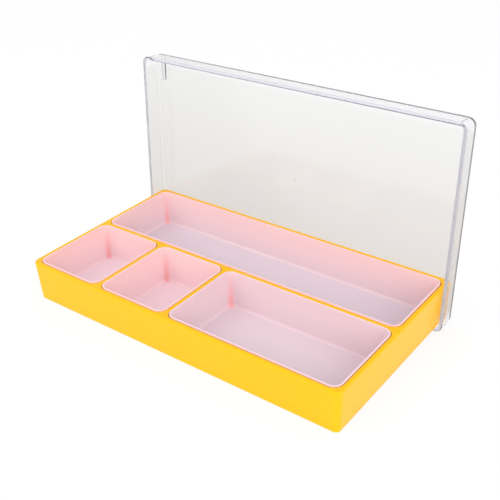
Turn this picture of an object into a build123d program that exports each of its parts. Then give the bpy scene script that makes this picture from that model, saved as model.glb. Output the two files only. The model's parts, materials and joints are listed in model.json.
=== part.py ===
from build123d import *
from collections import namedtuple
from math import asin, cos, degrees, radians, sin, sqrt, tan
import os

# Parts storage box: a tray whose dividers make four bays, a lift-out bin in each bay, and a clear
# cover that is off and stands on one of its long sides behind the tray. The back of the tray lies in
# the cover's mouth, so the tray slopes a little towards the front. Millimetres and degrees, +X to the
# right, +Y away from the user, +Z up. The box stands on Z = 0, with the origin under its middle.

# Tray, outside
tray_length = 240.0
tray_width = 132.0
tray_height = 28.5
tray_corner = 4.5
tray_draft = 2.5
rim_round = 0.9
base_round = 0.5

# Tray, walls and underside
tray_wall = 2.8
tray_floor = 2.2
foot_band = 8.0
foot_recess = 0.6

# Bays between the walls and the dividers, sizes at the rim
divider = 2.4
small_bay_length = 54.2
front_bay_width = 62.5
bay_corner = 6.5
bay_draft = 1.5
bay_floor_chamfer = 1.5
bay_rim_chamfer = 0.4

# Bins
bin_gap = 0.35
bin_wall = 1.1
bin_floor = 1.2
bin_draft = 3.0
bin_proud = 0.3
bin_floor_chamfer = 2.2
bin_rim_chamfer = 0.3

# Lid
lid_gap = 0.3
lid_wall = 2.2
lid_panel = 2.2
lid_depth = 15.0
lid_corner = 6.0
lid_draft = 2.0
lid_edge_round = 1.5
lid_inner_chamfer = 0.6
mouth_chamfer = 0.3

# Marks that moulding leaves on the lid, and the U-shaped rib inside its panel
gate_radius = 0.8
gate_height = 0.3
rib_length = 17.5
rib_span = 3.4
rib_thick = 0.7
rib_height = 0.6
rib_from_side = 1.6

# Air between the tray and the lid where they rest on each other
seat_gap = 0.2

# Sizes that follow from the ones above
tray_inset = tray_height * tan(radians(tray_draft))
lid_inner_depth = lid_depth - lid_panel
lid_flare = lid_inner_depth * tan(radians(lid_draft))
mouth_length = tray_length + 2 * (lid_gap + lid_flare)
mouth_width = tray_width + 2 * (lid_gap + lid_flare)
lid_length = mouth_length + 2 * lid_wall
lid_width = mouth_width + 2 * lid_wall

Bay = namedtuple("Bay", "bin_name x y length width")
Round = namedtuple("Round", "y z radius")


def top_edges(shape):
    return shape.edges().group_by(Axis.Z)[-1]


def bottom_edges(shape):
    return shape.edges().group_by(Axis.Z)[0]


def corner_edges(shape):
    """The edges that rise where two walls meet."""
    return [edge for edge in shape.edges() if abs((edge @ 1 - edge @ 0).Z) > 0.5 * edge.length]


def drafted_block(length, width, corner, height, draft):
    """A block with rounded corners and its top on Z = 0, which narrows downwards."""
    upright = extrude(RectangleRounded(length, width, corner), amount=height, taper=draft)
    return Rot(X=180) * upright


def bin_block(length, width, corner, height):
    """A block like that with the bins' draft, and with one radius all the way down each corner."""
    upright = extrude(Rectangle(length, width), amount=height, taper=bin_draft)
    return Rot(X=180) * fillet(corner_edges(upright), corner)


def bay_between(bin_name, left, right, front, back):
    return Bay(bin_name, (left + right) / 2, (front + back) / 2, right - left, back - front)


def bays():
    """The four bays, in the tray's own frame."""
    left = tray_wall - tray_length / 2
    right = -left
    front = tray_wall - tray_width / 2
    back = -front
    step = small_bay_length + divider
    middle = front + front_bay_width
    return [
        bay_between("bin_front_left", left, left + small_bay_length, front, middle),
        bay_between("bin_front_middle", left + step, left + step + small_bay_length, front, middle),
        bay_between("bin_front_right", left + 2 * step, right, front, middle),
        bay_between("bin_back", left, right, middle + divider, back),
    ]


def bay_cavity(bay):
    """The space of one bay, with its rounded corners and the slant round its floor."""
    cavity = drafted_block(bay.length, bay.width, bay_corner, tray_height - tray_floor, bay_draft)
    cavity = chamfer(bottom_edges(cavity), bay_floor_chamfer)
    return Pos(bay.x, bay.y, tray_height) * cavity


def underside_recess():
    """The shallow sunk field inside the border that the tray stands on."""
    length = tray_length - 2 * (tray_inset + foot_band)
    width = tray_width - 2 * (tray_inset + foot_band)
    return extrude(RectangleRounded(length, width, tray_corner), amount=foot_recess)


def make_tray():
    tray = Pos(Z=tray_height) * drafted_block(tray_length, tray_width, tray_corner, tray_height, tray_draft)
    tray = fillet(top_edges(tray), rim_round)
    tray = fillet(bottom_edges(tray), base_round)
    tray -= underside_recess()
    for bay in bays():
        tray -= bay_cavity(bay)
    rim = tray.faces().sort_by(Axis.Z)[-1]
    bay_rims = [edge for wire in rim.inner_wires() for edge in wire.edges()]
    return chamfer(bay_rims, bay_rim_chamfer)


def make_bin(bay):
    """A thin drafted bin that stands on the floor of its bay. Its wall is as thick round the slanted edge
    of its floor as above it."""
    height = tray_height - tray_floor + bin_proud
    length = bay.length - 2 * bin_gap
    width = bay.width - 2 * bin_gap
    corner = bay_corner - bin_gap
    outside = bin_block(length, width, corner, height)
    outside = chamfer(bottom_edges(outside), bin_floor_chamfer)
    inside = bin_block(length - 2 * bin_wall, width - 2 * bin_wall, corner - bin_wall, height - bin_floor)
    inside = chamfer(bottom_edges(inside), bin_floor_chamfer + (sqrt(2) - 1) * bin_wall - bin_floor)
    shell = outside - inside
    shell = chamfer(top_edges(shell), bin_rim_chamfer)
    return Pos(bay.x, bay.y, tray_floor + height) * shell


def marking_rib():
    """The low U-shaped rib that runs down the panel from one long side of the lid."""
    long_side = rib_length - rib_span / 2
    outer = Pos(Y=long_side / 2) * Rectangle(rib_span, long_side) + Pos(Y=long_side) * Circle(rib_span / 2)
    slot = rib_span - 2 * rib_thick
    inner = Pos(Y=long_side / 2) * Rectangle(slot, long_side) + Pos(Y=long_side) * Circle(slot / 2)
    return extrude(outer - inner, amount=-rib_height)


def make_lid():
    """The lid as it lies on the tray when shut, with its mouth on Z = 0 and its panel on top."""
    outside = extrude(RectangleRounded(lid_length, lid_width, lid_corner), amount=lid_depth, taper=lid_draft)
    outside = fillet(top_edges(outside), lid_edge_round)
    mouth = RectangleRounded(mouth_length, mouth_width, lid_corner - lid_wall)
    inside = extrude(mouth, amount=lid_inner_depth, taper=lid_draft)
    inside = chamfer(top_edges(inside), lid_inner_chamfer)
    lid = outside - inside
    lid = chamfer(bottom_edges(lid), mouth_chamfer)
    lid += Pos(Z=lid_depth) * extrude(Circle(gate_radius), amount=gate_height)
    rib_x = rib_from_side + rib_span / 2 - tray_length / 2
    lid += Pos(rib_x, -tray_width / 2, lid_inner_depth) * marking_rib()
    return lid


def seat_height():
    """How high the tray's underside lies where its side edges meet the lid's rounded lower corners."""
    inner_corner = lid_corner - lid_wall
    tray_centre = tray_length / 2 - tray_inset - base_round * tan(radians(45 - tray_draft / 2))
    lid_centre = tray_length / 2 + lid_gap - inner_corner
    play = max(inner_corner - base_round - seat_gap, 0)
    aside = min(max(tray_centre - lid_centre, 0), play)
    on_corners = lid_wall + inner_corner - base_round - sqrt(play ** 2 - aside ** 2)
    return max(on_corners, lid_wall + seat_gap)


def front_edge_y():
    """Where the middle of the rounded front edge of the base lies, in the tray's own frame."""
    return tray_inset - tray_width / 2 + base_round * tan(radians(45 - tray_draft / 2))


def back_rounds():
    """The two rounded long edges of the tray's back wall, in the tray's own frame."""
    rim_y = tray_width / 2 - rim_round * tan(radians(45 + tray_draft / 2))
    return [Round(rim_y, tray_height - rim_round, rim_round), Round(-front_edge_y(), base_round, base_round)]


def seat():
    """The tray's slope, in degrees, and the Y of the lid's mouth at the floor, with the tray's front edge
    on the floor, its back in the mouth and its back wall against the panel."""
    pivot = front_edge_y()
    lean = radians(lid_draft)
    slope = 0.0
    for _ in range(12):
        reaches = []
        for edge in back_rounds():
            y = pivot + (edge.y - pivot) * cos(slope) - (edge.z - base_round) * sin(slope)
            z = base_round + (edge.y - pivot) * sin(slope) + (edge.z - base_round) * cos(slope)
            reaches.append(y - z * tan(lean) + (edge.radius + seat_gap - lid_inner_depth) / cos(lean))
        mouth = max(reaches)
        along = (mouth - pivot - base_round * sin(slope)) / cos(slope)
        slope = asin((seat_height() - base_round * (1 - cos(slope))) / along)
    return degrees(slope), mouth


def tray_place():
    """Slopes what is in the tray's frame about the rounded front edge of the base."""
    slope, _ = seat()
    return Pos(0, front_edge_y(), base_round) * Rot(X=slope) * Pos(0, -front_edge_y(), -base_round)


def lid_place():
    """Stands the lid on a long side, with its mouth to the front and that side flat on the floor."""
    _, mouth = seat()
    return Pos(Y=mouth) * Rot(X=-lid_draft) * Pos(Z=lid_width / 2) * Rot(X=-90)


def make_box():
    """All pieces by name, with the origin under the middle of the whole."""
    pieces = {"tray": tray_place() * make_tray()}
    for bay in bays():
        pieces[bay.bin_name] = tray_place() * make_bin(bay)
    pieces["lid"] = lid_place() * make_lid()
    extent = Compound(children=[piece.solid() for piece in pieces.values()]).bounding_box()
    middle = (extent.min.Y + extent.max.Y) / 2
    return {name: Pos(Y=-middle) * piece.solid() for name, piece in pieces.items()}


os.makedirs("parts", exist_ok=True)
for node, solid in make_box().items():
    export_step(solid, f"parts/{node}.step")
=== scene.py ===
"""The looks of the parts storage box: a yellow tray with four lift-out bins, and its clear lid
stood up behind it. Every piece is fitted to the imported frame. Lengths are metres unless a name
says otherwise."""

import json
from collections import namedtuple
from math import atan2, pi, radians, tan

import bmesh
import bpy
from mathutils import Euler, Matrix, Vector


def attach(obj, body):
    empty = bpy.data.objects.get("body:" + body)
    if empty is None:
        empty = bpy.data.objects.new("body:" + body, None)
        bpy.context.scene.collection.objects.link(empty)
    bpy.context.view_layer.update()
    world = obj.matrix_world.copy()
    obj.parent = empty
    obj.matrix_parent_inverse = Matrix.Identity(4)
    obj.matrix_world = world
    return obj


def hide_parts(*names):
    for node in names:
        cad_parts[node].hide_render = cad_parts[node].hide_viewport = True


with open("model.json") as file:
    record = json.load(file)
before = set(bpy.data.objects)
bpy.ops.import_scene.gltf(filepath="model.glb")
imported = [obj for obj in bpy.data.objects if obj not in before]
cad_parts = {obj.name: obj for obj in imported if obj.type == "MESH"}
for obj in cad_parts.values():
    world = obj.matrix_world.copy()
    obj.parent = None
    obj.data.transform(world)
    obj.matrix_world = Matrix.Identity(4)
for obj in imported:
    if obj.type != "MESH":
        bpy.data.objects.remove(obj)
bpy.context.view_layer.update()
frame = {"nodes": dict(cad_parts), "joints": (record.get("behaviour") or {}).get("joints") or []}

bl_info = {
    "name": "Parts storage box",
    "version": (1, 0, 0),
    "blender": (4, 5, 0),
    "location": "3D View > Sidebar > Storage box",
    "description": "Builds the looks of a divided tray with lift-out bins and a clear lid",
    "category": "Add Mesh",
}

MM = 0.001

# The thinnest wall that a user may set
THINNEST = 0.5 * MM

# The air that keeps two faces apart, and how near counts as the same height
AIR = 0.01 * MM

# Edges that turn less than this are shaded as one smooth surface
SMOOTH_BELOW = radians(32)

# A face's normal is more upright than the first on a level face, and less than the second on a wall
LEVEL_NORMAL = 0.99
WALL_NORMAL = 0.5

# The camera that took the photograph, in its own pixels and turned about the middle of the base
PHOTO_SIDE_PX = 500
FOCAL_PX = 817.2
CAMERA_TURN = radians(37.53)
CAMERA_DIP = radians(29.21)
CAMERA_ROLL = radians(-1.31)
CAMERA_PLACE = Vector((285.4, -357.3, 299.2)) * MM
SENSOR_WIDTH_MM = 36

# Two square lamps, as name, place and watts, and the white surroundings
LAMP_SIDE = 1.2
LAMPS = [
    ("Front lamp", (-0.5, -1.3, 0.9), 9),
    ("Side lamp", (1.4, -0.6, 0.8), 12),
]
WHITE = (1, 1, 1, 1)
SURROUNDINGS_STRENGTH = 0.87

# How much of the floor's look is plain white. The rest takes the shadow of the box.
FLOOR_WHITE_SHARE = 0.86

# How deep the grain of the mould is on every piece
GRAIN_DEPTH = 0.01 * MM

# The sockets of a Mix node that take and give colours, since it has others of the same names
MIX_BELOW = 6
MIX_OVER = 7
MIX_RESULT = 2

# The bins in order, each with the mark of its painted sheen, a paler and cooler colour that stands
# in for the white surroundings' sheen and for the light the walls pass on, and how much of it the
# floor and the walls take. The foot of a wall lies between the two, nearer the floor.
PaintedSheen = namedtuple("PaintedSheen", "attribute floor wall")
BINS = {
    "bin_front_left": PaintedSheen("small_floor", 1, 0),
    "bin_front_middle": PaintedSheen("small_floor", 0.85, 0.1),
    "bin_front_right": PaintedSheen("floor", 0.85, 0.5),
    "bin_back": PaintedSheen("floor", 1, 0.1),
}
WALL_FOOT_SHARE = 0.65

# How fast the painted shade in a bin's inner corner fades to both sides
CORNER_SHADE_FALLOFF = 3

# The bins stand this far above the lowest point of their solids, clear of the tray's facets
BIN_LIFT = 0.06 * MM

# The lid is glossy and its mouth matt, but for this share along the top
LID_ROUGHNESS = 0.07
MOUTH_ROUGHNESS = 0.5
MOUTH_TOP_SHARE = 0.2

# What a shadow keeps of the light on its way through the lid
LID_SHADOW_TINT = (0.96, 0.96, 0.96, 1)

# The painted highlight strips along the long sides of the lid, and how far in they fade
HIGHLIGHT_STRIP = 6 * MM
HIGHLIGHT_FADE = 4 * MM

# How much of its radius the gate's mark keeps at its end
GATE_TAPER = 0.85

# How far the rib starts from the inner corner of the lid, and how much of its own tint it takes
RIB_FROM_SIDE = 4.1 * MM
RIB_FROM_TOP = 0.3 * MM
RIB_TINT_SHARE = 0.5

# The settings and the operator of each step, in the order in which they run
STEPS = [
    ("storage_tray", "storage_box.tray"),
    ("storage_bins", "storage_box.bins"),
    ("storage_lid", "storage_box.lid"),
    ("storage_stage", "storage_box.stage"),
]


# Places that come from the frame

def tray_slope():
    """How far the tray's front-to-back line rises, from the way its bins lift out."""
    axis = Vector(frame["joints"][0]["axis"])
    return atan2(-axis.y, axis.z)


def lid_lean():
    """How far the lid's panel leans back from upright, from the panel's own normal."""
    panel = max(frame["nodes"]["lid"].data.polygons, key=lambda face: face.area)
    return atan2(abs(panel.normal.z), abs(panel.normal.y))


def box_when_turned(node, angle):
    """The lowest and highest corner of a CAD node once it is turned about X by an angle."""
    turn = Matrix.Rotation(angle, 3, "X")
    points = [turn @ vertex.co for vertex in frame["nodes"][node].data.vertices]
    low = Vector([min(point[axis] for point in points) for axis in range(3)])
    high = Vector([max(point[axis] for point in points) for axis in range(3)])
    return low, high


# Settings that a user would change

class TraySettings(bpy.types.PropertyGroup):
    """The yellow tray, whose shape is that of its solid"""

    colour: bpy.props.FloatVectorProperty(
        name="Colour",
        description="Solid plastic of the tray",
        subtype="COLOR",
        size=3,
        default=(1.0, 0.48, 0.0),
        min=0,
        max=1,
    )
    grain: bpy.props.FloatProperty(
        name="Grain",
        description="Strength of the fine grain of the mould",
        default=0.05,
        min=0,
        max=1,
    )


class BinSettings(bpy.types.PropertyGroup):
    """The four lift-out bins"""

    wall: bpy.props.FloatProperty(
        name="Wall",
        description="Thickness of a bin's wall",
        default=1.1 * MM,
        min=THINNEST,
        unit="LENGTH",
    )
    floor: bpy.props.FloatProperty(
        name="Floor",
        description="Thickness of a bin's floor",
        default=1.2 * MM,
        min=THINNEST,
        unit="LENGTH",
    )
    draft: bpy.props.FloatProperty(
        name="Draft",
        description="Lean of a bin's walls",
        default=radians(3),
        subtype="ANGLE",
    )
    corner: bpy.props.FloatProperty(
        name="Corner",
        description="Radius of a bin's outer corners",
        default=6.15 * MM,
        unit="LENGTH",
    )
    floor_round: bpy.props.FloatProperty(
        name="Floor round",
        description="Radius outside, between a bin's floor and its walls",
        default=3.0 * MM,
        unit="LENGTH",
    )
    rim_round: bpy.props.FloatProperty(
        name="Rim round",
        description="Radius of the edges of a bin's rim",
        default=0.3 * MM,
        unit="LENGTH",
    )
    colour: bpy.props.FloatVectorProperty(
        name="Colour",
        description="Frosted plastic of the bins' walls",
        subtype="COLOR",
        size=3,
        default=(0.94, 0.6, 0.58),
        min=0,
        max=1,
    )
    # Painted sheen: the large bins' floors are painted paler and cooler than the walls, for the
    # sheen of the white surroundings on them
    floor_colour: bpy.props.FloatVectorProperty(
        name="Floor colour",
        description="Frosted plastic of the large bins' floors, which looks a little cooler",
        subtype="COLOR",
        size=3,
        default=(0.72, 0.62, 0.69),
        min=0,
        max=1,
    )
    # Painted light: the small bins' floors are painted lighter still, for the light their walls
    # pass on
    small_floor_painted_light: bpy.props.FloatVectorProperty(
        name="Small floor colour",
        description="The same for the two small bins, whose floors catch more light from the walls",
        subtype="COLOR",
        size=3,
        default=(0.88, 0.72, 0.79),
        min=0,
        max=1,
    )
    # Painted shade: a deeper pink low down in the inner corners, where shade falls
    corner_shade_colour: bpy.props.FloatVectorProperty(
        name="Corner colour",
        description="Deeper colour low down in the bins' inner corners",
        subtype="COLOR",
        size=3,
        default=(0.9, 0.38, 0.38),
        min=0,
        max=1,
    )


class LidSettings(bpy.types.PropertyGroup):
    """The clear lid with its gate's mark and its rib"""

    wall: bpy.props.FloatProperty(
        name="Wall",
        description="Thickness of the lid's walls",
        default=2.2 * MM,
        min=THINNEST,
        unit="LENGTH",
    )
    panel: bpy.props.FloatProperty(
        name="Panel",
        description="Thickness of the lid's panel",
        default=2.2 * MM,
        min=THINNEST,
        unit="LENGTH",
    )
    corner: bpy.props.FloatProperty(
        name="Corner",
        description="Radius of the lid's outer corners",
        default=5.2 * MM,
        unit="LENGTH",
    )
    edge_round: bpy.props.FloatProperty(
        name="Edge round",
        description="Radius outside, between the panel and the walls",
        default=1.5 * MM,
        unit="LENGTH",
    )
    inner_round: bpy.props.FloatProperty(
        name="Inner round",
        description="Radius inside, between the panel and the walls",
        default=0.5 * MM,
        unit="LENGTH",
    )
    mouth_round: bpy.props.FloatProperty(
        name="Mouth round",
        description="Radius of the edges of the mouth",
        default=0.12 * MM,
        unit="LENGTH",
    )
    gate_radius: bpy.props.FloatProperty(
        name="Gate",
        description="Radius of the mark of the gate on the panel",
        default=0.8 * MM,
        unit="LENGTH",
    )
    gate_height: bpy.props.FloatProperty(
        name="Gate height",
        description="How far the gate's mark stands out",
        default=0.3 * MM,
        unit="LENGTH",
    )
    rib_length: bpy.props.FloatProperty(
        name="Rib length",
        description="Length of the U-shaped rib",
        default=16.4 * MM,
        unit="LENGTH",
    )
    rib_span: bpy.props.FloatProperty(
        name="Rib span",
        description="Width over the two legs of the rib",
        default=3.4 * MM,
        unit="LENGTH",
    )
    rib_thick: bpy.props.FloatProperty(
        name="Rib thickness",
        description="Width of one leg of the rib",
        default=0.7 * MM,
        unit="LENGTH",
    )
    rib_height: bpy.props.FloatProperty(
        name="Rib height",
        description="How far the rib stands out of the panel",
        default=0.6 * MM,
        unit="LENGTH",
    )
    tint: bpy.props.FloatVectorProperty(
        name="Tint",
        description="Colour of the clear plastic near the top wall",
        subtype="COLOR",
        size=3,
        default=(0.93, 0.935, 0.91),
        min=0,
        max=1,
    )
    # Painted reflection: the plastic is painted darker and warmer towards the floor, for the faint
    # reflection of the box in the panel
    reflection_tint: bpy.props.FloatVectorProperty(
        name="Haze tint",
        description="Colour of the clear plastic near the floor, where it is hazier",
        subtype="COLOR",
        size=3,
        default=(0.785, 0.75, 0.7),
        min=0,
        max=1,
    )
    # Painted highlight: the mouth's edge and the strips along the long sides are painted whiter,
    # for the bright reflection that the top wall catches
    highlight_tint: bpy.props.FloatVectorProperty(
        name="Clear tint",
        description="Colour of the mouth's edge and of the clearer strips along the long sides",
        subtype="COLOR",
        size=3,
        default=(1.0, 1.0, 1.0),
        min=0,
        max=1,
    )
    rib_tint: bpy.props.FloatVectorProperty(
        name="Rib tint",
        description="Colour that the rib takes half of",
        subtype="COLOR",
        size=3,
        default=(0.65, 0.65, 0.71),
        min=0,
        max=1,
    )
    depth_tint: bpy.props.FloatVectorProperty(
        name="Depth tint",
        description="What light turns to on its way through the plastic",
        subtype="COLOR",
        size=3,
        default=(0.5, 0.42, 0.84),
        min=0,
        max=1,
    )
    depth_strength: bpy.props.FloatProperty(
        name="Depth strength",
        description="How soon light takes the depth tint, per metre",
        default=15,
        min=0,
    )


class StageSettings(bpy.types.PropertyGroup):
    """The floor under the box"""

    floor_side: bpy.props.FloatProperty(
        name="Floor",
        description="Side of the square floor",
        default=3,
        min=1,
        unit="LENGTH",
    )
    floor_colour: bpy.props.FloatVectorProperty(
        name="Floor colour",
        description="Colour of the floor",
        subtype="COLOR",
        size=3,
        default=(0.95, 0.95, 0.95),
        min=0,
        max=1,
    )


# Modelling steps that several pieces share

def add_block(bm, length, width, height):
    """A block centred on the Z axis that stands on Z = 0."""
    size = Matrix.Diagonal((length, width, height, 1))
    place = Matrix.Translation((0, 0, height / 2)) @ size
    return bmesh.ops.create_cube(bm, size=1, matrix=place)["verts"]


def draw_in(bm, verts, length, width, depth, draft):
    """Narrows a level outline as walls with that draft would over a depth."""
    inset = 2 * depth * tan(draft)
    bmesh.ops.scale(bm, vec=(1 - inset / length, 1 - inset / width, 1), verts=verts)


def rising_edges(bm):
    """The edges that rise where two walls meet."""
    return [
        edge
        for edge in bm.edges
        if abs(edge.verts[0].co.z - edge.verts[1].co.z) > edge.calc_length() / 2
    ]


def rim_edges(bm, z):
    """The level edges at a height between a level face and a wall."""
    found = []
    for edge in bm.edges:
        at_height = all(abs(vertex.co.z - z) < AIR for vertex in edge.verts)
        if at_height and any(abs(face.normal.z) < WALL_NORMAL for face in edge.link_faces):
            found.append(edge)
    return found


def face_at(bm, z):
    """The level face nearest a height."""
    level = [face for face in bm.faces if abs(face.normal.z) > LEVEL_NORMAL]
    return min(level, key=lambda face: abs(face.calc_center_median().z - z))


def round_off(bm, edges, radius, segments):
    """Rounds edges to a radius, in that many segments."""
    bmesh.ops.bevel(
        bm,
        geom=list(edges),
        offset=radius,
        offset_type="OFFSET",
        affect="EDGES",
        segments=segments,
        profile=0.5,
        material=-1,
        clamp_overlap=True,
    )


def hollow(bm, face, wall, length, width, depth, draft):
    """Sinks a pocket into a level face, and returns the pocket's own end face."""
    bmesh.ops.inset_region(bm, faces=[face], thickness=wall, use_even_offset=True)
    way = -face.normal.copy()
    grown = bmesh.ops.extrude_face_region(bm, geom=[face])["geom"]
    bmesh.ops.delete(bm, geom=[face], context="FACES_ONLY")
    end = [item for item in grown if isinstance(item, bmesh.types.BMFace)][0]
    bmesh.ops.translate(bm, vec=way * depth, verts=end.verts)
    draw_in(bm, list(end.verts), length - 2 * wall, width - 2 * wall, depth, draft)
    return end


def finished_object(bm, name, place, material):
    """Turns a bmesh into a shaded object whose place is in its mesh."""
    bmesh.ops.recalc_face_normals(bm, faces=bm.faces)
    bm.transform(place)
    mesh = bpy.data.meshes.new(name)
    bm.to_mesh(mesh)
    bm.free()
    mesh.shade_smooth()
    mesh.set_sharp_from_angle(angle=SMOOTH_BELOW)
    mesh.materials.append(material)
    piece = bpy.data.objects.new(name, mesh)
    bpy.context.scene.collection.objects.link(piece)
    weights = piece.modifiers.new("Even shading", "WEIGHTED_NORMAL")
    weights.keep_sharp = True
    return piece


# Materials

def set_inputs(node, values):
    """Sets a node's sockets by their names."""
    for socket, value in values.items():
        node.inputs[socket].default_value = value


def add_math(nodes, link, operation, *values):
    """The output of a Math node whose inputs are numbers or other nodes' outputs."""
    node = nodes.new("ShaderNodeMath")
    node.operation = operation
    for socket, value in zip(node.inputs, values):
        if isinstance(value, bpy.types.NodeSocket):
            link(value, socket)
        else:
            socket.default_value = value
    return node.outputs["Value"]


def add_noise(nodes, link, place, values):
    """A Noise Texture on the piece's own coordinates."""
    noise = nodes.new("ShaderNodeTexNoise")
    set_inputs(noise, values)
    link(place, noise.inputs["Vector"])
    return noise


def mixed(nodes, link, share, first, second):
    """The mix of two shaders, with that share of the second."""
    mix = nodes.new("ShaderNodeMixShader")
    link(share, mix.inputs["Fac"])
    link(first, mix.inputs[1])
    link(second, mix.inputs[2])
    return mix.outputs["Shader"]


def group_with(name, inputs, outputs):
    """An empty shader node group with named sockets. An input is (name, type, default)."""
    group = bpy.data.node_groups.new(name, "ShaderNodeTree")
    for socket_name, kind, default in inputs:
        socket = group.interface.new_socket(name=socket_name, in_out="INPUT", socket_type=kind)
        socket.default_value = default
    for socket_name, kind in outputs:
        group.interface.new_socket(name=socket_name, in_out="OUTPUT", socket_type=kind)
    return group


def moulding_group():
    """Uneven gloss, a little drift in depth of colour and fine grain, as moulded plastic has."""
    found = bpy.data.node_groups.get("Moulded surface")
    if found:
        return found
    group = group_with(
        "Moulded surface",
        [
            ("Colour", "NodeSocketColor", (0.8, 0.8, 0.8, 1)),
            ("Drift", "NodeSocketFloat", 0.03),
            ("Roughness", "NodeSocketFloat", 0.3),
            ("Gloss drift", "NodeSocketFloat", 0.06),
            ("Grain size", "NodeSocketFloat", 900.0),
        ],
        [
            ("Colour", "NodeSocketColor"),
            ("Roughness", "NodeSocketFloat"),
            ("Height", "NodeSocketFloat"),
        ],
    )
    nodes = group.nodes
    link = group.links.new
    given = nodes.new("NodeGroupInput").outputs
    result = nodes.new("NodeGroupOutput").inputs
    place = nodes.new("ShaderNodeTexCoord").outputs["Object"]

    flow = add_noise(nodes, link, place, {"Scale": 22, "Detail": 3})
    centred = add_math(nodes, link, "SUBTRACT", flow.outputs["Fac"], 0.5)
    shade = add_math(nodes, link, "MULTIPLY_ADD", centred, given["Drift"], 1)
    tinted = nodes.new("ShaderNodeVectorMath")
    tinted.operation = "SCALE"
    link(given["Colour"], tinted.inputs[0])
    link(shade, tinted.inputs["Scale"])
    link(tinted.outputs["Vector"], result["Colour"])

    handled = add_noise(nodes, link, place, {"Scale": 75, "Detail": 5, "Roughness": 0.6})
    gloss = (handled.outputs["Fac"], given["Gloss drift"], given["Roughness"])
    link(add_math(nodes, link, "MULTIPLY_ADD", *gloss), result["Roughness"])

    grain = add_noise(nodes, link, place, {"Detail": 2})
    link(given["Grain size"], grain.inputs["Scale"])
    link(grain.outputs["Fac"], result["Height"])
    return group


def moulded_material(name, surface_values, grain):
    """A principled material that wears the moulded surface, with its shader and surface nodes."""
    material = bpy.data.materials.new(name)
    material.use_nodes = True
    nodes = material.node_tree.nodes
    link = material.node_tree.links.new
    shader = nodes["Principled BSDF"]
    surface = nodes.new("ShaderNodeGroup")
    surface.node_tree = moulding_group()
    set_inputs(surface, surface_values)
    bump = nodes.new("ShaderNodeBump")
    set_inputs(bump, {"Strength": grain, "Distance": GRAIN_DEPTH})
    link(surface.outputs["Colour"], shader.inputs["Base Color"])
    link(surface.outputs["Roughness"], shader.inputs["Roughness"])
    link(surface.outputs["Height"], bump.inputs["Height"])
    link(bump.outputs["Normal"], shader.inputs["Normal"])
    return material, shader, surface


def paint_over(material, surface, layers):
    """Puts colours over a surface's own where the mesh says so. A layer is (attribute, colour)."""
    nodes = material.node_tree.nodes
    link = material.node_tree.links.new
    colour = nodes.new("ShaderNodeRGB")
    colour.outputs["Color"].default_value = surface.inputs["Colour"].default_value
    below = colour.outputs["Color"]
    for attribute, over in layers:
        share = nodes.new("ShaderNodeAttribute")
        share.attribute_name = attribute
        mix = nodes.new("ShaderNodeMix")
        mix.data_type = "RGBA"
        link(share.outputs["Fac"], mix.inputs["Factor"])
        link(below, mix.inputs[MIX_BELOW])
        mix.inputs[MIX_OVER].default_value = (*over, 1)
        below = mix.outputs[MIX_RESULT]
    link(below, surface.inputs["Colour"])


def tray_plastic(settings):
    """Solid plastic with a soft gloss."""
    surface_values = {
        "Colour": (*settings.colour, 1),
        "Drift": 0.015,
        "Roughness": 0.24,
        "Gloss drift": 0.06,
        "Grain size": 3200,
    }
    material, shader, _ = moulded_material("Yellow tray plastic", surface_values, settings.grain)
    set_inputs(shader, {"IOR": 1.5, "Specular IOR Level": 0.22})
    return material


def bin_plastic(settings):
    """Frosted plastic, with painted sheen that makes the floors paler and cooler, and painted shade
    deeper in the corners.
    """
    surface_values = {
        "Colour": (*settings.colour, 1),
        "Drift": 0.02,
        "Roughness": 0.42,
        "Gloss drift": 0.1,
        "Grain size": 3600,
    }
    material, shader, surface = moulded_material("Frosted pink plastic", surface_values, grain=0.06)
    # The floor marks paint sheen and light, and the corner mark paints shade
    layers = [
        ("floor", settings.floor_colour),
        ("small_floor", settings.small_floor_painted_light),
        ("corner", settings.corner_shade_colour),
    ]
    paint_over(material, surface, layers)
    own_values = {"IOR": 1.49, "Alpha": 0.97, "Sheen Weight": 0.35, "Sheen Roughness": 0.5}
    set_inputs(shader, own_values)
    return material


def lid_plastic(settings):
    """Clear plastic with a matt mouth, which turns light violet on long ways through it. Its
    mouth's edge and the strips along its long sides are painted whiter as a painted highlight, and
    it is painted darker and warmer towards the floor as a painted reflection.
    """
    surface_values = {
        "Colour": (*settings.tint, 1),
        "Drift": 0.01,
        "Gloss drift": 0.03,
        "Grain size": 300,
    }
    material, shader, surface = moulded_material("Clear lid plastic", surface_values, grain=0.02)
    own_values = {
        "IOR": 1.52,
        "Transmission Weight": 1,
        "Specular IOR Level": 0.2,
        "Alpha": 0.95,
    }
    set_inputs(shader, own_values)
    # The reflection mark paints a darker, warmer reflection towards the floor; the clear and mouth
    # marks paint a highlight
    layers = [
        ("reflection_share", settings.reflection_tint),
        ("clear", settings.highlight_tint),
        ("mouth", settings.highlight_tint),
        ("rib", settings.rib_tint),
    ]
    paint_over(material, surface, layers)

    nodes = material.node_tree.nodes
    link = material.node_tree.links.new
    mouth = nodes.new("ShaderNodeAttribute")
    mouth.attribute_name = "mouth"
    rougher = MOUTH_ROUGHNESS - LID_ROUGHNESS
    gloss = add_math(nodes, link, "MULTIPLY_ADD", mouth.outputs["Fac"], rougher, LID_ROUGHNESS)
    link(gloss, surface.inputs["Roughness"])

    result = nodes["Material Output"].inputs
    depth = nodes.new("ShaderNodeVolumeAbsorption")
    set_inputs(depth, {"Color": (*settings.depth_tint, 1), "Density": settings.depth_strength})
    link(depth.outputs["Volume"], result["Volume"])

    clear = nodes.new("ShaderNodeBsdfTransparent")
    set_inputs(clear, {"Color": LID_SHADOW_TINT})
    light = nodes.new("ShaderNodeLightPath").outputs["Is Shadow Ray"]
    both = mixed(nodes, link, light, shader.outputs["BSDF"], clear.outputs["BSDF"])
    link(both, result["Surface"])
    return material


# Bins

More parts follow.
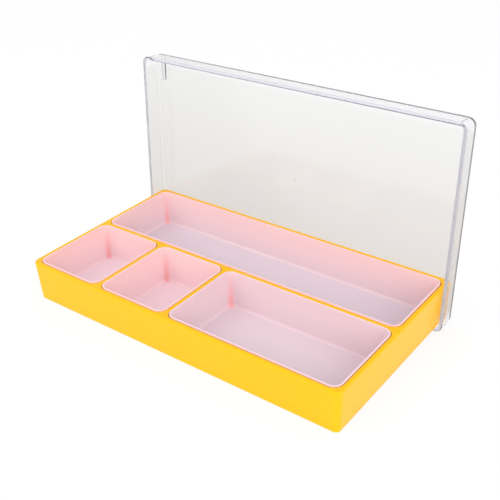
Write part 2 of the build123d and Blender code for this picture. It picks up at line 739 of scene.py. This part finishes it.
def build_bin(node, settings, material):
    """One bin on the place of its CAD node: a drafted shell with round corners and floor edges."""
    slope = tray_slope()
    low, high = box_when_turned(node, -slope)
    length, width = high.x - low.x, high.y - low.y
    height = high.z - low.z - BIN_LIFT
    bm = bmesh.new()
    block = add_block(bm, length, width, height)
    foot = [vertex for vertex in block if vertex.co.z < height / 2]
    draw_in(bm, foot, length, width, height, settings.draft)
    round_off(bm, rising_edges(bm), settings.corner, segments=10)
    round_off(bm, face_at(bm, 0).edges, settings.floor_round, segments=5)
    rim = face_at(bm, height)
    inner_depth = height - settings.floor
    floor = hollow(bm, rim, settings.wall, length, width, inner_depth, settings.draft)
    round_off(bm, floor.edges, settings.floor_round - settings.wall, segments=5)
    round_off(bm, rim_edges(bm, height), settings.rim_round, segments=3)
    mark_bin(bm, settings, length, width, height, BINS[node])
    middle = Vector(((low.x + high.x) / 2, (low.y + high.y) / 2, low.z + BIN_LIFT))
    place = Matrix.Rotation(slope, 4, "X") @ Matrix.Translation(middle)
    piece = finished_object(bm, node + "_shell", place, material)
    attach(piece, node)
    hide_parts(node)


def mark_bin(bm, settings, length, width, height, painted_sheen):
    """Marks the painted sheen that pales and cools the floor and the walls, and the painted shade
    that deepens the inner corners.
    """
    # This mark holds the painted sheen of the floor and the walls
    floor = bm.verts.layers.float.new(painted_sheen.attribute)
    # This mark holds the painted shade of the inner corners
    corner = bm.verts.layers.float.new("corner")
    radius = settings.corner - settings.wall
    wall_foot = WALL_FOOT_SHARE * painted_sheen.floor + (1 - WALL_FOOT_SHARE) * painted_sheen.wall
    for vertex in bm.verts:
        above_floor = vertex.co.z - settings.floor
        if above_floor < AIR:
            vertex[floor] = painted_sheen.floor
        elif above_floor < height / 2:
            inset = settings.wall + (height - vertex.co.z) * tan(settings.draft)
            along = abs(vertex.co.x) - (length / 2 - inset - radius)
            across = abs(vertex.co.y) - (width / 2 - inset - radius)
            vertex[floor] = wall_foot
            vertex[corner] = corner_shade_share(along, across)
        else:
            vertex[floor] = painted_sheen.wall


def corner_shade_share(along, across):
    """How much painted shade a point takes, from how deep in a round corner it lies: 1 in its
    middle, 0 where the walls run straight.
    """
    if along <= 0 or across <= 0:
        return 0
    return (2 * along * across / (along ** 2 + across ** 2)) ** CORNER_SHADE_FALLOFF


# Lid

def build_lid(settings, material):
    """The clear lid: a panel with a drafted skirt, modelled mouth down and stood up on its side."""
    lean = lid_lean()
    low, high = box_when_turned("lid", lean)
    length, width = high.x - low.x, high.z - low.z
    depth = high.y - low.y - settings.gate_height
    inner_depth = depth - settings.panel
    bm = bmesh.new()
    block = add_block(bm, length, width, depth)
    panel_outline = [vertex for vertex in block if vertex.co.z > depth / 2]
    draw_in(bm, panel_outline, length, width, depth, lean)
    round_off(bm, rising_edges(bm), settings.corner, segments=12)
    round_off(bm, face_at(bm, depth).edges, settings.edge_round, segments=6)
    end = hollow(bm, face_at(bm, 0), settings.wall, length, width, inner_depth, lean)
    round_off(bm, end.edges, settings.inner_round, segments=4)
    round_off(bm, rim_edges(bm, 0), settings.mouth_round, segments=2)
    mark_lid(bm, width, settings)
    add_gate(bm, settings, depth)
    inset = settings.wall + inner_depth * tan(lean)
    add_rib(bm, settings, Vector((inset - length / 2, inset - width / 2, inner_depth)))
    stand = Matrix.Translation((0, 0, width / 2)) @ Matrix.Rotation(-pi / 2, 4, "X")
    lean_back = Matrix.Rotation(-lean, 4, "X") @ Matrix.Translation((0, low.y, low.z))
    piece = finished_object(bm, "lid_shell", lean_back @ stand, material)
    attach(piece, "lid")
    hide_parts("lid")


def mark_lid(bm, width, settings):
    """Marks the matt mouth, the painted highlight strips along the long sides, and the painted
    reflection that darkens and warms the plastic from the top wall to the floor."""
    mouth = bm.faces.layers.float.new("mouth")
    for face in bm.faces:
        middle = face.calc_center_median()
        if middle.z < settings.mouth_round:
            on_top = middle.y < settings.wall - width / 2
            face[mouth] = MOUTH_TOP_SHARE if on_top else 1
    strip = width / 2 - HIGHLIGHT_STRIP
    for side in (-1, 1):
        for line in (strip, strip - HIGHLIGHT_FADE):
            bmesh.ops.bisect_plane(
                bm,
                geom=[*bm.verts, *bm.edges, *bm.faces],
                dist=AIR / 10,
                plane_co=(0, side * line, 0),
                plane_no=(0, 1, 0),
            )
    # This mark holds the painted highlight of the strips along the long sides
    clear = bm.verts.layers.float.new("clear")
    reflection_share = bm.verts.layers.float.new("reflection_share")
    for vertex in bm.verts:
        vertex[clear] = float(abs(vertex.co.y) > strip - HIGHLIGHT_FADE / 2)
        # The painted reflection's share, from 0 at the top wall to 1 at the floor
        vertex[reflection_share] = 0.5 + vertex.co.y / width


def add_gate(bm, settings, panel):
    """The small flat stub in the middle of the panel's outside."""
    height = settings.gate_height - AIR
    bmesh.ops.create_cone(
        bm,
        cap_ends=True,
        segments=24,
        radius1=settings.gate_radius,
        radius2=settings.gate_radius * GATE_TAPER,
        depth=height,
        matrix=Matrix.Translation((0, 0, panel + AIR + height / 2)),
    )


def add_rib(bm, settings, corner):
    """The low U-shaped rib on the panel's inside, which runs down from the top wall. The section of
    a leg is drawn out along the first leg, turned round the bend and drawn out along the second."""
    radius = (settings.rib_span - settings.rib_thick) / 2
    leg = settings.rib_length - settings.rib_span / 2
    section = Matrix.Diagonal((settings.rib_thick, settings.rib_height, 1, 1))
    upright = Matrix.Translation((radius, 0, 0)) @ Matrix.Rotation(pi / 2, 4, "X") @ section
    grid = bmesh.ops.create_grid(bm, x_segments=1, y_segments=1, size=0.5, matrix=upright)
    start = grid["verts"]
    section_face = start[0].link_faces[0]
    outline = list(section_face.edges)
    first_leg = bmesh.ops.extrude_face_region(bm, geom=[section_face])["geom"]
    first_end = [item for item in first_leg if isinstance(item, bmesh.types.BMVert)]
    bmesh.ops.translate(bm, vec=(0, -leg, 0), verts=first_end)
    known = set(bm.verts)
    turned = bmesh.ops.spin(
        bm,
        geom=[*start, *outline],
        cent=(0, 0, 0),
        axis=(0, 0, 1),
        angle=pi,
        steps=12,
        use_merge=False,
    )["geom_last"]
    turned_edges = [item for item in turned if isinstance(item, bmesh.types.BMEdge)]
    second_leg = bmesh.ops.extrude_edge_only(bm, edges=turned_edges)["geom"]
    second_end = [item for item in second_leg if isinstance(item, bmesh.types.BMVert)]
    bmesh.ops.translate(bm, vec=(0, -leg, 0), verts=second_end)
    bmesh.ops.contextual_create(bm, geom=second_end)
    added = [vertex for vertex in bm.verts if vertex not in known]
    rib = [*start, *first_end, *added]
    across = RIB_FROM_SIDE + settings.rib_span / 2
    inside = Vector((across, RIB_FROM_TOP + leg, -settings.rib_height / 2 - AIR))
    bmesh.ops.translate(bm, vec=corner + inside, verts=rib)
    share = bm.faces.layers.float.new("rib")
    for face in {face for vertex in rib for face in vertex.link_faces}:
        face[share] = RIB_TINT_SHARE


# Stage

def light_mix(nodes, link, share):
    """That share for rays from the camera, from gloss or through clear plastic, else nothing."""
    path = nodes.new("ShaderNodeLightPath").outputs
    direct = add_math(nodes, link, "MAXIMUM", path["Is Camera Ray"], path["Is Glossy Ray"])
    direct = add_math(nodes, link, "MAXIMUM", direct, path["Is Transmission Ray"])
    return add_math(nodes, link, "MULTIPLY", direct, share)


def build_floor(settings):
    """A pale floor that shows as white, with a weak shadow of the box on it."""
    bm = bmesh.new()
    bmesh.ops.create_grid(bm, x_segments=1, y_segments=1, size=settings.floor_side / 2)
    mesh = bpy.data.meshes.new("floor")
    bm.to_mesh(mesh)
    bm.free()
    floor = bpy.data.objects.new("floor", mesh)
    bpy.context.scene.collection.objects.link(floor)
    material = bpy.data.materials.new("White floor")
    material.use_nodes = True
    nodes = material.node_tree.nodes
    link = material.node_tree.links.new
    nodes.remove(nodes["Principled BSDF"])
    matt = nodes.new("ShaderNodeBsdfDiffuse")
    set_inputs(matt, {"Color": (*settings.floor_colour, 1)})
    glow = nodes.new("ShaderNodeEmission")
    set_inputs(glow, {"Strength": 1})
    share = light_mix(nodes, link, FLOOR_WHITE_SHARE)
    both = mixed(nodes, link, share, matt.outputs["BSDF"], glow.outputs["Emission"])
    link(both, nodes["Material Output"].inputs["Surface"])
    mesh.materials.append(material)


def light_scene(scene):
    """Even white surroundings and two broad lamps, whose reflections stay out of the gloss."""
    world = bpy.data.worlds.new("Surroundings")
    scene.world = world
    world.use_nodes = True
    nodes = world.node_tree.nodes
    link = world.node_tree.links.new
    back = nodes["Background"]
    set_inputs(back, {"Color": WHITE, "Strength": SURROUNDINGS_STRENGTH})
    seen = nodes.new("ShaderNodeBackground")
    set_inputs(seen, {"Color": WHITE, "Strength": 1})
    share = light_mix(nodes, link, 1)
    both = mixed(nodes, link, share, back.outputs["Background"], seen.outputs["Background"])
    link(both, nodes["World Output"].inputs["Surface"])
    for name, place, power in LAMPS:
        lamp = bpy.data.lights.new(name, "AREA")
        lamp.shape = "SQUARE"
        lamp.size = LAMP_SIDE
        lamp.energy = power
        holder = bpy.data.objects.new(name, lamp)
        holder.location = place
        holder.rotation_euler = (-Vector(place)).to_track_quat("-Z", "Y").to_euler()
        holder.visible_glossy = False
        scene.collection.objects.link(holder)


def place_camera(scene):
    """The camera where the photograph was taken from, with its focal length."""
    camera = bpy.data.cameras.new("Photograph")
    camera.sensor_width = SENSOR_WIDTH_MM
    camera.lens = FOCAL_PX / PHOTO_SIDE_PX * SENSOR_WIDTH_MM
    camera.clip_start = 10 * MM
    holder = bpy.data.objects.new("Photograph", camera)
    scene.collection.objects.link(holder)
    turn = Euler((pi / 2 - CAMERA_DIP, 0, CAMERA_TURN), "XYZ").to_matrix()
    roll = Matrix.Rotation(CAMERA_ROLL, 3, "Z")
    holder.rotation_euler = (turn @ roll).to_euler()
    holder.location = CAMERA_PLACE
    scene.camera = holder


# Operators and the panel that lists them

class STORAGEBOX_OT_tray(bpy.types.Operator):
    """Give the tray its yellow plastic"""

    bl_idname = "storage_box.tray"
    bl_label = "Finish the tray"

    def execute(self, context):
        tray = frame["nodes"]["tray"]
        tray.data.materials.clear()
        tray.data.materials.append(tray_plastic(context.scene.storage_tray))
        return {"FINISHED"}


class STORAGEBOX_OT_bins(bpy.types.Operator):
    """Build the four lift-out bins"""

    bl_idname = "storage_box.bins"
    bl_label = "Build the bins"

    def execute(self, context):
        settings = context.scene.storage_bins
        material = bin_plastic(settings)
        for node in BINS:
            build_bin(node, settings, material)
        return {"FINISHED"}


class STORAGEBOX_OT_lid(bpy.types.Operator):
    """Build the clear lid"""

    bl_idname = "storage_box.lid"
    bl_label = "Build the lid"

    def execute(self, context):
        settings = context.scene.storage_lid
        build_lid(settings, lid_plastic(settings))
        return {"FINISHED"}


class STORAGEBOX_OT_stage(bpy.types.Operator):
    """Set up the floor, the lamps, the surroundings and the camera"""

    bl_idname = "storage_box.stage"
    bl_label = "Set the stage"

    def execute(self, context):
        scene = context.scene
        build_floor(scene.storage_stage)
        light_scene(scene)
        place_camera(scene)
        scene.view_settings.view_transform = "Standard"
        return {"FINISHED"}


class STORAGEBOX_PT_panel(bpy.types.Panel):
    """The settings and steps of the storage box"""

    bl_label = "Parts storage box"
    bl_space_type = "VIEW_3D"
    bl_region_type = "UI"
    bl_category = "Storage box"

    def draw(self, context):
        for settings, operator in STEPS:
            column = self.layout.box().column()
            group = getattr(context.scene, settings)
            for name in group.bl_rna.properties.keys():
                if name not in ("rna_type", "name"):
                    column.prop(group, name)
            column.operator(operator)


SETTINGS = {
    "storage_tray": TraySettings,
    "storage_bins": BinSettings,
    "storage_lid": LidSettings,
    "storage_stage": StageSettings,
}
CLASSES = [
    *SETTINGS.values(),
    STORAGEBOX_OT_tray,
    STORAGEBOX_OT_bins,
    STORAGEBOX_OT_lid,
    STORAGEBOX_OT_stage,
    STORAGEBOX_PT_panel,
]


def register():
    for cls in CLASSES:
        bpy.utils.register_class(cls)
    for name, cls in SETTINGS.items():
        setattr(bpy.types.Scene, name, bpy.props.PointerProperty(type=cls))


def unregister():
    for name in SETTINGS:
        delattr(bpy.types.Scene, name)
    for cls in reversed(CLASSES):
        bpy.utils.unregister_class(cls)


def main():
    register()
    bpy.ops.storage_box.tray()
    bpy.ops.storage_box.bins()
    bpy.ops.storage_box.lid()
    bpy.ops.storage_box.stage()


if __name__ == "__main__":
    main()
